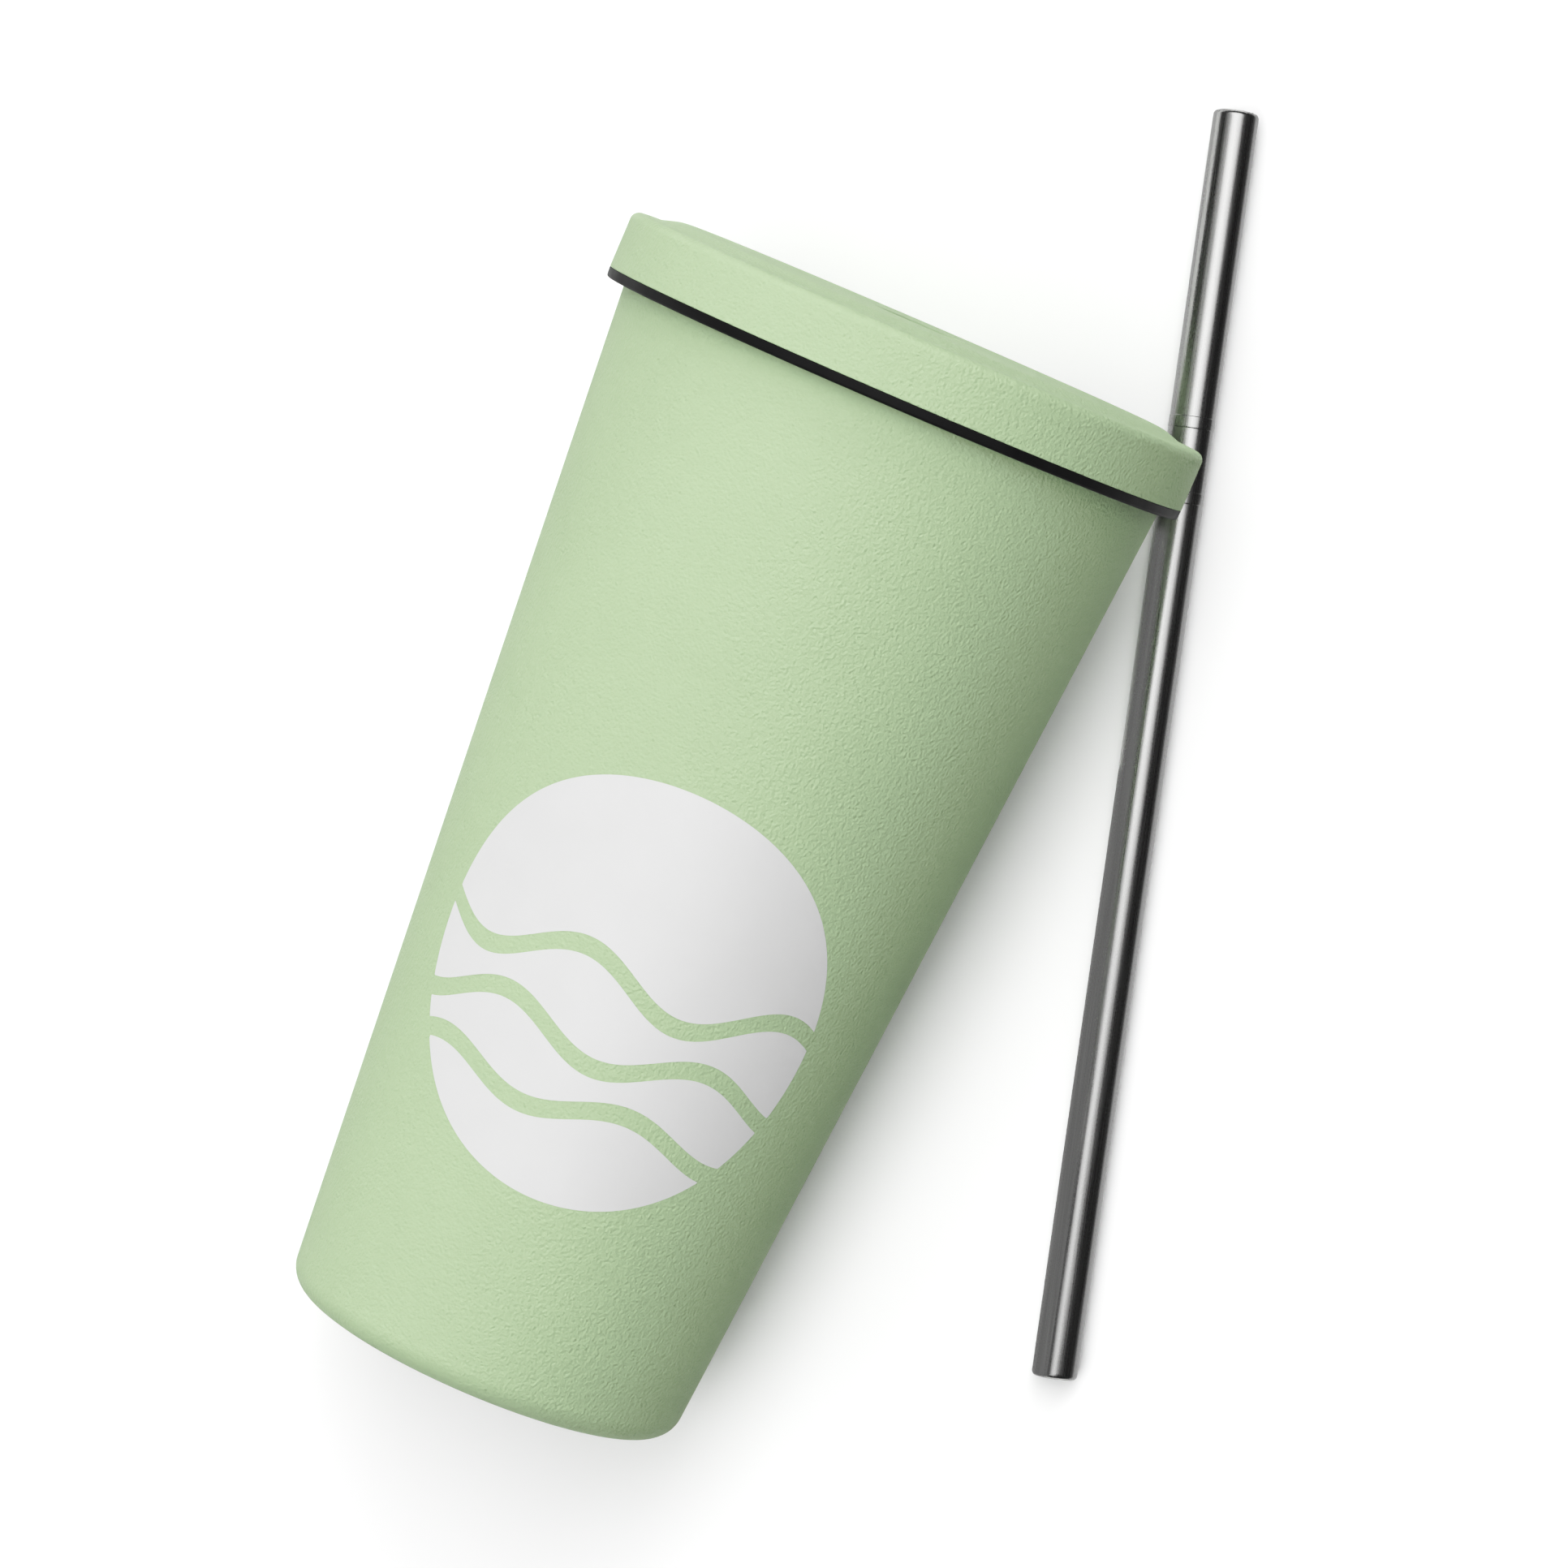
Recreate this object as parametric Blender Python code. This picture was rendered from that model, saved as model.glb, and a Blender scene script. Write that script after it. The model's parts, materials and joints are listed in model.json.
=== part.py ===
"""Insulated travel mug: a double-walled steel cup, a press-in straw lid and a steel straw.

The mug lies on its side, lid towards +X, on the edge of the lid's gasket and the corner of
its base. The straw lies flat beside it on the -Y side. Units are metres and +Z is up.
"""

import math

import bmesh
import bpy
from mathutils import Vector

# Shared rules
GAP = 0.0003
FACETS_LARGE = 48
FACETS_SMALL = 24
SHARP_ANGLE = math.radians(35)

# Cup, measured up its own axis from the plane it stands on
CUP_BASE_RADIUS = 0.03261
CUP_TAPER = 0.07622
CUP_CORNER = 0.0044
SHEET = 0.0006
DOUBLE_WALL = 0.0032
SHELL_TOP = 0.1653
LIP_HEIGHT = 0.0010
FOOT_INNER_RADIUS = 0.0260
BASE_RECESS = 0.0015
LINER_FLOOR = 0.0090
LINER_CORNER = 0.0080
LINER_WELD = 0.0190
VACUUM_PLATE_HEIGHT = 0.0036
EVACUATION_HOLE_RADIUS = 0.0010
FOIL_DEPTH = 0.0018
FOIL_THICKNESS = 0.0004
FOIL_BOTTOM = 0.0240
FOIL_TOP = 0.1600
GETTER_OFFSET = 0.0120

# Lid, measured up the same axis
LID_RADIUS = 0.0483
LID_TOP = 0.1773
LID_WALL = 0.0018
PLATEAU_RADIUS = 0.0398
PLATEAU_FOOT_RADIUS = 0.0454
PLATEAU_HEIGHT = 0.00115
RIM_TOP = 0.1761
RIM_CORNER = 0.0014
BAND_TOP = 0.16628
BAND_BOTTOM = 0.16508
BAND_CORNER = 0.00045
PLUG_RADIUS = 0.0398
PLUG_BOTTOM = 0.1556
HOLE_RADIUS = 0.0059
GROMMET_BORE_RADIUS = 0.0041

# Straw, and where it lies: from the line where the gasket touches the ground, at the mug's middle
STRAW_RADIUS = 0.00374
STRAW_WALL = 0.0005
STRAW_LENGTH = 0.2085
STRAW_END_ROUND = 0.00012
STRAW_BEADS = (0.0513, 0.0636)
BEAD_HEIGHT = 0.0002
BEAD_HALF_LENGTH = 0.0010
BEAD_HALF_CREST = 0.0004
STRAW_ANGLE = math.radians(15.04)
STRAW_TOP_X = 0.0630
STRAW_TOP_Y = -0.0329

SIDE_ANGLE = math.atan(CUP_TAPER)
SHELL_CORNER_RADIUS = CUP_BASE_RADIUS - CUP_CORNER * (1 - math.sin(SIDE_ANGLE)) / math.cos(SIDE_ANGLE)
BAND_CORNER_RADIUS = LID_RADIUS - BAND_CORNER - 0.0001
BAND_CORNER_HEIGHT = BAND_BOTTOM + BAND_CORNER


def cup_radius(height, depth=0.0):
    """Radius of the tapered wall at a height, at a depth below its outer surface."""
    return CUP_BASE_RADIUS + CUP_TAPER * height - depth / math.cos(SIDE_ANGLE)


def arc(centre_radius, centre_height, radius, start, end, steps):
    """Points on a rounded corner of a profile, from one angle in degrees to another."""
    points = []
    for step in range(steps + 1):
        angle = math.radians(start + (end - start) * step / steps)
        points.append((centre_radius + radius * math.cos(angle), centre_height + radius * math.sin(angle)))
    return points


def side_degrees():
    return -math.degrees(SIDE_ANGLE)


def resting_tilt():
    """Angle of the mug's axis above the ground, touching it at the gasket and the base corner."""
    run = BAND_CORNER_HEIGHT - CUP_CORNER
    rise = BAND_CORNER_RADIUS - SHELL_CORNER_RADIUS
    return math.atan2(rise, run) - math.asin((CUP_CORNER - BAND_CORNER) / math.hypot(run, rise))


def finish(name, colour, roughness, metallic):
    material = bpy.data.materials.new(name)
    material.use_nodes = True
    shader = material.node_tree.nodes["Principled BSDF"]
    shader.inputs["Base Color"].default_value = (*colour, 1.0)
    shader.inputs["Roughness"].default_value = roughness
    shader.inputs["Metallic"].default_value = metallic
    return material


def turned(name, profile, parent, material, facets=FACETS_LARGE, offset=(0.0, 0.0)):
    """Turn a profile of (radius, height) points round the parent's Z axis into one closed solid.

    A profile that starts and ends on the axis is left open there, any other is closed.
    """
    shape = bmesh.new()
    points = [shape.verts.new((radius, 0.0, height)) for radius, height in profile]
    for first, second in zip(points, points[1:]):
        shape.edges.new((first, second))
    if profile[0][0] > 0:
        shape.edges.new((points[-1], points[0]))
    bmesh.ops.spin(
        shape,
        geom=shape.verts[:] + shape.edges[:],
        cent=(0, 0, 0),
        axis=(0, 0, 1),
        angle=math.tau,
        steps=facets,
        use_merge=True,
    )
    bmesh.ops.remove_doubles(shape, verts=shape.verts[:], dist=1e-6)
    bmesh.ops.recalc_face_normals(shape, faces=shape.faces[:])
    mesh = bpy.data.meshes.new(name)
    shape.to_mesh(mesh)
    shape.free()
    mesh.shade_smooth()
    mesh.set_sharp_from_angle(angle=SHARP_ANGLE)
    mesh.materials.append(material)
    piece = bpy.data.objects.new(name, mesh)
    bpy.context.collection.objects.link(piece)
    piece.parent = parent
    piece.location = (*offset, 0.0)
    return piece


def holder(name, parent=None, location=(0, 0, 0), rotation=(0, 0, 0)):
    """An empty that carries the pieces of one rigid group, on that group's own axis."""
    empty = bpy.data.objects.new(name, None)
    empty.empty_display_size = 0.03
    empty.parent = parent
    empty.location = location
    empty.rotation_euler = rotation
    bpy.context.collection.objects.link(empty)
    return empty


def make_outer_shell(parent, material):
    """Tapered outer wall, its rounded bottom corner and the flat ring that the mug stands on."""
    profile = [(cup_radius(SHELL_TOP), SHELL_TOP)]
    profile += arc(SHELL_CORNER_RADIUS, CUP_CORNER, CUP_CORNER, side_degrees(), -90, 6)
    profile += [(FOOT_INNER_RADIUS, 0.0), (FOOT_INNER_RADIUS, SHEET)]
    profile += arc(SHELL_CORNER_RADIUS, CUP_CORNER, CUP_CORNER - SHEET, -90, side_degrees(), 6)
    profile.append((cup_radius(SHELL_TOP, SHEET), SHELL_TOP))
    turned("outer_shell", profile, parent, material)


def make_base_plate(parent, material):
    """Pressed disc that closes the underside, set in above the standing ring."""
    rim = FOOT_INNER_RADIUS - GAP
    profile = [
        (0.0, BASE_RECESS),
        (rim - 0.0027, BASE_RECESS),
        (rim - 0.0014, GAP),
        (rim, GAP),
        (rim, GAP + SHEET),
        (rim - 0.0011, GAP + SHEET),
        (rim - 0.0024, BASE_RECESS + SHEET),
        (0.0, BASE_RECESS + SHEET),
    ]
    turned("base_plate", profile, parent, material)


def make_vacuum_parts(parent, plate_finish, seal_finish, getter_finish, clip_finish):
    """Inner end plate with its evacuation hole and seal, and the getter that keeps the vacuum."""
    low = VACUUM_PLATE_HEIGHT
    bend = 0.0024
    bend_radius = 0.0296
    flange_top = 0.0080
    plate = [(EVACUATION_HOLE_RADIUS, low)]
    plate += arc(bend_radius, low + bend, bend, -90, 0, 4)
    plate += [(bend_radius + bend + 0.0002, flange_top), (bend_radius + bend + 0.0002 - SHEET, flange_top)]
    plate += arc(bend_radius, low + bend, bend - SHEET, 0, -90, 4)
    plate.append((EVACUATION_HOLE_RADIUS, low + SHEET))
    turned("vacuum_end_plate", plate, parent, plate_finish)

    seal_top = low - GAP
    seal = [
        (0.0, seal_top - 0.0008),
        (0.0022, seal_top - 0.0008),
        (0.0030, seal_top - 0.0004),
        (0.0030, seal_top),
        (0.0, seal_top),
    ]
    turned("vacuum_seal_bead", seal, parent, seal_finish, FACETS_SMALL)

    seat = low + SHEET + GAP
    pill_radius = 0.0040
    pill_top = seat + 0.0014
    pill = [(0.0, seat), (pill_radius, seat), (pill_radius, pill_top), (0.0, pill_top)]
    turned("getter_pill", pill, parent, getter_finish, FACETS_SMALL, (GETTER_OFFSET, 0.0))

    sleeve = pill_radius + GAP
    clip_top = pill_top + GAP + 0.0005
    clip = [
        (sleeve, seat),
        (sleeve + 0.0027, seat),
        (sleeve + 0.0027, seat + 0.0005),
        (sleeve + 0.0007, seat + 0.0005),
        (sleeve + 0.0007, clip_top),
        (sleeve - 0.0011, clip_top),
        (sleeve - 0.0011, pill_top + GAP),
        (sleeve, pill_top + GAP),
    ]
    turned("getter_clip", clip, parent, clip_finish, FACETS_SMALL, (GETTER_OFFSET, 0.0))


def make_foil_wrap(parent, material):
    """Reflective foil round the liner, inside the vacuum, that holds back radiant heat."""
    profile = [
        (cup_radius(FOIL_BOTTOM, FOIL_DEPTH), FOIL_BOTTOM),
        (cup_radius(FOIL_BOTTOM, FOIL_DEPTH + FOIL_THICKNESS), FOIL_BOTTOM),
        (cup_radius(FOIL_TOP, FOIL_DEPTH + FOIL_THICKNESS), FOIL_TOP),
        (cup_radius(FOIL_TOP, FOIL_DEPTH), FOIL_TOP),
    ]
    turned("foil_wrap", profile, parent, material)


def make_liner(parent, material):
    """Inner wall with the rolled drinking lip, and the dished bottom welded below it."""
    lip_low = SHELL_TOP + GAP
    lip_inner = cup_radius(lip_low, DOUBLE_WALL)
    lip_outer = cup_radius(lip_low)
    liner_back = DOUBLE_WALL - SHEET
    wall = [(cup_radius(LINER_WELD, DOUBLE_WALL), LINER_WELD)]
    wall += arc(lip_inner + LIP_HEIGHT, lip_low, LIP_HEIGHT, 180, 90, 4)
    wall += arc(lip_outer - LIP_HEIGHT, lip_low, LIP_HEIGHT, 90, 0, 4)
    wall += [
        (cup_radius(lip_low, liner_back), lip_low),
        (cup_radius(LINER_WELD, liner_back), LINER_WELD),
    ]
    turned("liner_wall", wall, parent, material)

    weld = LINER_WELD - GAP
    corner_height = LINER_FLOOR + LINER_CORNER
    corner_shift = LINER_CORNER * (1 - math.sin(SIDE_ANGLE)) / math.cos(SIDE_ANGLE)
    corner_radius = cup_radius(LINER_FLOOR, DOUBLE_WALL) - corner_shift
    bottom = [(0.0, LINER_FLOOR - SHEET)]
    bottom += arc(corner_radius, corner_height, LINER_CORNER + SHEET, -90, side_degrees(), 5)
    bottom += [(cup_radius(weld, liner_back), weld), (cup_radius(weld, DOUBLE_WALL), weld)]
    bottom += arc(corner_radius, corner_height, LINER_CORNER, side_degrees(), -90, 5)
    bottom.append((0.0, LINER_FLOOR))
    turned("liner_bottom", bottom, parent, material)


def make_lid_cap(parent, material):
    """Outer cover: a low plateau that eases down to a rounded rim, and a straight skirt."""
    counterbore_radius = HOLE_RADIUS + 0.0020
    counterbore_floor = LID_TOP - 0.0012
    underside = LID_TOP - 0.0024
    skirt_inner = LID_RADIUS - LID_WALL
    skirt_bottom = BAND_TOP + GAP
    slope_steps = 6
    profile = [(counterbore_radius, LID_TOP)]
    for step in range(slope_steps + 1):
        share = step / slope_steps
        radius = PLATEAU_RADIUS + (PLATEAU_FOOT_RADIUS - PLATEAU_RADIUS) * share
        profile.append((radius, LID_TOP - PLATEAU_HEIGHT * (1 - math.cos(math.pi * share)) / 2))
    profile += arc(LID_RADIUS - RIM_CORNER, RIM_TOP - RIM_CORNER, RIM_CORNER, 90, 0, 4)
    profile += [
        (LID_RADIUS, skirt_bottom),
        (skirt_inner, skirt_bottom),
        (skirt_inner, RIM_TOP - 0.0029),
        (skirt_inner - 0.0009, RIM_TOP - 0.0020),
        (PLATEAU_RADIUS, underside),
        (HOLE_RADIUS, underside),
        (HOLE_RADIUS, counterbore_floor),
        (counterbore_radius, counterbore_floor),
    ]
    turned("lid_cap", profile, parent, material)


def make_lid_plug(parent, material):
    """Inner moulding: a disc inside the cap, a ring that goes down into the cup, and a straw boss."""
    disc_low = BAND_TOP + 0.00242
    disc_top = disc_low + 0.0025
    ring_inner = PLUG_RADIUS - 0.0016
    flange_radius = LID_RADIUS - LID_WALL - GAP
    boss_radius = HOLE_RADIUS + 0.0017
    boss_low = 0.1659
    boss_top = LID_TOP - 0.0024 - GAP
    bead_radius = PLUG_RADIUS + 0.0009
    profile = [
        (HOLE_RADIUS, boss_low),
        (boss_radius, boss_low),
        (boss_radius, disc_low),
        (ring_inner, disc_low),
        (ring_inner, PLUG_BOTTOM),
        (bead_radius, PLUG_BOTTOM),
        (bead_radius, PLUG_BOTTOM + 0.0007),
        (PLUG_RADIUS, PLUG_BOTTOM + 0.0013),
        (PLUG_RADIUS, disc_low),
        (flange_radius, disc_low),
        (flange_radius, disc_top),
        (boss_radius, disc_top),
        (boss_radius, boss_top),
        (HOLE_RADIUS, boss_top),
    ]
    turned("lid_plug", profile, parent, material)


def make_lid_gasket(parent, material):
    """Silicone ring: the band seen under the cap, a web over the lip and two wiping lips inside."""
    sleeve_inner = PLUG_RADIUS + GAP
    sleeve_outer = sleeve_inner + 0.0005
    sleeve_bottom = PLUG_BOTTOM + 0.0016
    band_inner = cup_radius(BAND_TOP) + 0.0005
    web_low = SHELL_TOP + GAP + LIP_HEIGHT + 0.0004
    web_top = web_low + 0.0014
    web_radius = LID_RADIUS - LID_WALL - GAP
    profile = [(LID_RADIUS - 0.00002, BAND_TOP)]
    profile += arc(BAND_CORNER_RADIUS, BAND_CORNER_HEIGHT, BAND_CORNER, 0, -90, 4)
    profile += [(band_inner, BAND_BOTTOM), (band_inner, web_low), (sleeve_outer, web_low)]
    for wiper in (0.1634, 0.1594):
        reach = cup_radius(wiper, DOUBLE_WALL) - GAP
        profile += [
            (sleeve_outer, wiper + 0.0010),
            (reach, wiper),
            (reach, wiper - 0.0003),
            (sleeve_outer, wiper - 0.0008),
        ]
    profile += [
        (sleeve_outer, sleeve_bottom),
        (sleeve_inner, sleeve_bottom),
        (sleeve_inner, web_top),
        (web_radius, web_top),
        (web_radius, BAND_TOP),
    ]
    turned("lid_gasket", profile, parent, material)


def make_straw_grommet(parent, material):
    """Silicone sleeve in the lid's middle, held by a flange above and a lip below."""
    sleeve = HOLE_RADIUS - GAP
    flange = HOLE_RADIUS + 0.0020 - GAP
    flange_low = LID_TOP - 0.0012 + GAP
    top = LID_TOP - 0.0001
    lip_top = 0.1659 - GAP
    bottom = lip_top - 0.0006
    bevel = 0.0003
    profile = [
        (GROMMET_BORE_RADIUS, bottom),
        (sleeve + 0.0013 - bevel, bottom),
        (sleeve + 0.0013, bottom + bevel),
        (sleeve + 0.0013, lip_top),
        (sleeve, lip_top),
        (sleeve, flange_low),
        (flange, flange_low),
        (flange, top - bevel),
        (flange - bevel, top),
        (GROMMET_BORE_RADIUS + bevel, top),
        (GROMMET_BORE_RADIUS, top - bevel),
    ]
    turned("straw_grommet", profile, parent, material, FACETS_SMALL)


def make_straw(parent, material):
    """Thin steel tube with two low rolled beads that stop it either side of the lid."""
    bore = STRAW_RADIUS - STRAW_WALL
    profile = [(bore, 0.0), (STRAW_RADIUS - STRAW_END_ROUND, 0.0), (STRAW_RADIUS, STRAW_END_ROUND)]
    for from_top in sorted(STRAW_BEADS, reverse=True):
        middle = STRAW_LENGTH - from_top
        profile += [
            (STRAW_RADIUS, middle - BEAD_HALF_LENGTH),
            (STRAW_RADIUS + BEAD_HEIGHT, middle - BEAD_HALF_CREST),
            (STRAW_RADIUS + BEAD_HEIGHT, middle + BEAD_HALF_CREST),
            (STRAW_RADIUS, middle + BEAD_HALF_LENGTH),
        ]
    profile += [
        (STRAW_RADIUS, STRAW_LENGTH - STRAW_END_ROUND),
        (STRAW_RADIUS - STRAW_END_ROUND, STRAW_LENGTH),
        (bore, STRAW_LENGTH),
    ]
    turned("straw", profile, parent, material, FACETS_SMALL)


def centre_footprint(ground):
    """Move everything so that the middle of the object's box stands over the origin, on z = 0."""
    bpy.context.view_layer.update()
    corners = []
    for piece in bpy.data.objects:
        if piece.type == "MESH":
            corners += [piece.matrix_world @ vertex.co for vertex in piece.data.vertices]
    low = Vector([min(corner[axis] for corner in corners) for axis in range(3)])
    high = Vector([max(corner[axis] for corner in corners) for axis in range(3)])
    middle = (low + high) / 2
    ground.location = (-middle.x, -middle.y, -low.z)
    bpy.context.view_layer.update()


def main():
    for existing in list(bpy.data.objects):
        bpy.data.objects.remove(existing, do_unlink=True)

    powder_coat = finish("green_powder_coat", (0.555, 0.694, 0.462), 0.55, 0.0)
    lid_paint = finish("green_lid_paint", (0.555, 0.694, 0.462), 0.55, 0.0)
    silicone = finish("black_silicone", (0.012, 0.012, 0.012), 0.6, 0.0)
    grommet_silicone = finish("grommet_silicone", (0.015, 0.015, 0.015), 0.6, 0.0)
    plug_plastic = finish("plug_plastic", (0.10, 0.10, 0.10), 0.5, 0.0)
    liner_steel = finish("liner_steel", (0.56, 0.55, 0.53), 0.3, 1.0)
    plain_steel = finish("plain_steel", (0.50, 0.49, 0.47), 0.4, 1.0)
    foil = finish("reflective_foil", (0.85, 0.86, 0.88), 0.2, 1.0)
    seal_glass = finish("solder_glass", (0.05, 0.04, 0.03), 0.3, 0.0)
    getter_metal = finish("getter_alloy", (0.16, 0.16, 0.17), 0.7, 1.0)
    straw_steel = finish("straw_steel", (0.56, 0.56, 0.55), 0.28, 1.0)

    tilt = resting_tilt()
    ground = holder("ground")
    lean = (0.0, math.pi / 2 - tilt, 0.0)
    touch_height = BAND_CORNER_HEIGHT * math.cos(tilt) + BAND_CORNER_RADIUS * math.sin(tilt)
    touch_drop = BAND_CORNER_HEIGHT * math.sin(tilt) - BAND_CORNER_RADIUS * math.cos(tilt) - BAND_CORNER
    cup_axis = holder("cup_axis", ground, (-touch_height, 0.0, -touch_drop), lean)
    lid_axis = holder("lid_axis", cup_axis)
    straw_top = Vector((STRAW_TOP_X, STRAW_TOP_Y, STRAW_RADIUS + BEAD_HEIGHT))
    straw_run = Vector((math.cos(STRAW_ANGLE), math.sin(STRAW_ANGLE), 0.0)) * STRAW_LENGTH
    straw_axis = holder("straw_axis", ground, straw_top - straw_run, (0.0, math.pi / 2, STRAW_ANGLE))

    make_outer_shell(cup_axis, powder_coat)
    make_base_plate(cup_axis, plain_steel)
    make_vacuum_parts(cup_axis, plain_steel, seal_glass, getter_metal, plain_steel)
    make_foil_wrap(cup_axis, foil)
    make_liner(cup_axis, liner_steel)
    make_lid_cap(lid_axis, lid_paint)
    make_lid_plug(lid_axis, plug_plastic)
    make_lid_gasket(lid_axis, silicone)
    make_straw_grommet(lid_axis, grommet_silicone)
    make_straw(straw_axis, straw_steel)
    centre_footprint(ground)


main()
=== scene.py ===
"""Looks of the insulated travel mug: fine meshes, finishes, studio light and the camera.

Every piece of the mug is turned round its axis in the mug's own frame (Z up from the base),
then laid down where the CAD model lies. Units are metres.
"""

import json
import math

import bmesh
import bpy
from mathutils import Matrix, Vector


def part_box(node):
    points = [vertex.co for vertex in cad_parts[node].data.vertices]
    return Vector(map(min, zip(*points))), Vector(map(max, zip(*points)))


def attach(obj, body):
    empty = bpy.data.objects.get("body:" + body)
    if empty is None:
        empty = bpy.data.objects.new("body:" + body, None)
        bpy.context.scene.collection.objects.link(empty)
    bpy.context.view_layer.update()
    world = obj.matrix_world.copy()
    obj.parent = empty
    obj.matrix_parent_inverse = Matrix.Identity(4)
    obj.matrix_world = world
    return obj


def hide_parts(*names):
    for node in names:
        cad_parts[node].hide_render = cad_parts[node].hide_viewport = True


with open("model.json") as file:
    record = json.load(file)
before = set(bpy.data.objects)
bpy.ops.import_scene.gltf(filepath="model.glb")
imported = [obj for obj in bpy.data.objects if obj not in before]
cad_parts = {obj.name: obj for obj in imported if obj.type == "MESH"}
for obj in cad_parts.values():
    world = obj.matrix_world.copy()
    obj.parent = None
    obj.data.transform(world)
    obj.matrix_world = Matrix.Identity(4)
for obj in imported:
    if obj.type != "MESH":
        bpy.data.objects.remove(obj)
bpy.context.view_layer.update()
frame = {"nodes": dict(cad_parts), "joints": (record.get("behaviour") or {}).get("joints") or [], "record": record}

# ------------------------------------ sizes, as in the CAD model unless a comment says otherwise
CUP_BASE_RADIUS = 0.03261
CUP_TAPER = 0.07622
CUP_CORNER = 0.0044
SHEET = 0.0006
DOUBLE_WALL = 0.0032
LIP_TOP = 0.1666
LIP_LOW = 0.1655  # without the CAD model's gap under the lip
FOOT_INNER_RADIUS = 0.0260
LINER_FLOOR = 0.0090
LINER_CORNER = 0.0080
LINER_WELD = 0.0190
LID_RADIUS = 0.0483
LID_TOP = 0.1773
LID_WALL = 0.0018
PLATEAU_RADIUS = 0.0398
PLATEAU_FOOT_RADIUS = 0.0454
PLATEAU_HEIGHT = 0.00115
RIM_TOP = 0.1761
RIM_CORNER = 0.0014
BAND_TOP = 0.16668  # 0.4 mm taller than in the CAD model
BAND_BOTTOM = 0.16508
PLUG_RADIUS = 0.0398
PLUG_BOTTOM = 0.1556
WIPER_HEIGHTS = (0.1634, 0.1594)
HOLE_RADIUS = 0.0059
BORE_RADIUS = 0.0041
STRAW_RADIUS = 0.00374
STRAW_WALL = 0.0005
STRAW_LENGTH = 0.2085
STRAW_BEADS = (0.0636, 0.0513)
BEAD_HEIGHT = 0.00006  # lower than in the CAD model
STRAW_ANGLE = math.radians(15.04)

SIDE_ANGLE = math.atan(CUP_TAPER)
GAP = 0.00003  # left between pieces that touch on the real mug

FACETS_LARGE = 256
FACETS_GROMMET = 128
FACETS_STRAW = 96
ON_AXIS = 1e-7


# ---------------------------------------------------------------- where things lie
def axes_matrix(x_axis, y_axis, z_axis, origin):
    """Matrix from a frame with these axes and this origin to the world."""
    rotation = Matrix((x_axis, y_axis, z_axis)).transposed().to_4x4()
    return Matrix.Translation(origin) @ rotation


def mug_place():
    """Matrix from the mug's own frame, base centre at 0 and Z up the axis, to where it lies."""
    pull = next(joint for joint in frame["joints"] if joint["name"] == "lid_pull")
    ring = next(mount for mount in frame["record"]["mounts"] if mount["name"] == "standing_ring")
    low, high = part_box("outer_shell")
    up = Vector(pull["axis"]).normalized()
    across = Vector((0.0, 1.0, 0.0))
    base = Vector((ring["pos_m"][0], (low.y + high.y) / 2, ring["pos_m"][2]))
    return axes_matrix(across.cross(up), across, up, base)


def straw_place():
    """Matrix from the straw's own frame, lower end at 0 and Z along it, to where it lies."""
    low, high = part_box("straw")
    along = Vector((math.cos(STRAW_ANGLE), math.sin(STRAW_ANGLE), 0.0))
    up = Vector((0.0, 0.0, 1.0))
    start = (low + high) / 2 - along * STRAW_LENGTH / 2
    return axes_matrix(-up, up.cross(along), along, start)


MUG = mug_place()
STRAW = straw_place()


def cup_radius(height, depth=0.0):
    """Radius of the tapered wall at a height, at a depth below its outer surface."""
    return CUP_BASE_RADIUS + CUP_TAPER * height - depth / math.cos(SIDE_ANGLE)


# ---------------------------------------------------------------- mesh tools
def rounded(corners, closed=True, steps=6):
    """Round the corners of a profile. Each corner is (radius, height, rounding radius).

    Two roundings that meet share the side between them. A point is added on the straight part next
    to each rounding, so that flats stay flat in shading.
    """
    usable = 0.98
    support = 0.00025
    support_share = 0.45
    count = len(corners)
    spots = [Vector(corner[:2]) for corner in corners]
    wishes = []
    for index, here in enumerate(spots):
        sharp_end = not closed and index in (0, count - 1)
        before = spots[index - 1] - here
        after = spots[(index + 1) % count] - here
        rounding = 0.0 if sharp_end else corners[index][2]
        wishes.append(rounding / math.tan(before.angle(after) / 2) if rounding > 0 else 0.0)
    points = []
    for index, here in enumerate(spots):
        if wishes[index] <= 0:
            points.append(here)
            continue
        before = spots[index - 1] - here
        after = spots[(index + 1) % count] - here
        angle = before.angle(after)
        reach = wishes[index]
        for side, neighbour in ((before, wishes[index - 1]), (after, wishes[(index + 1) % count])):
            room = usable * side.length
            if wishes[index] + neighbour > room:
                reach = min(reach, room * wishes[index] / (wishes[index] + neighbour))
        start = here + before.normalized() * reach
        end = here + after.normalized() * reach
        bisector = (before.normalized() + after.normalized()).normalized()
        centre = here + bisector * (reach / math.cos(angle / 2))
        first = start - centre
        last = end - centre
        sweep = first.angle(last)
        turn = 1.0 if first.cross(last) > 0 else -1.0
        extra = min(support, support_share * before.length)
        if before.length - reach > 2 * extra:
            points.append(start + before.normalized() * extra)
        for step in range(steps + 1):
            swing = turn * sweep * step / steps
            cosine = math.cos(swing)
            sine = math.sin(swing)
            spoke = Vector((first.x * cosine - first.y * sine, first.x * sine + first.y * cosine))
            points.append(centre + spoke)
        extra = min(support, support_share * after.length)
        if after.length - reach > 2 * extra:
            points.append(end + after.normalized() * extra)
    return [(point.x, point.y) for point in points]


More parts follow.
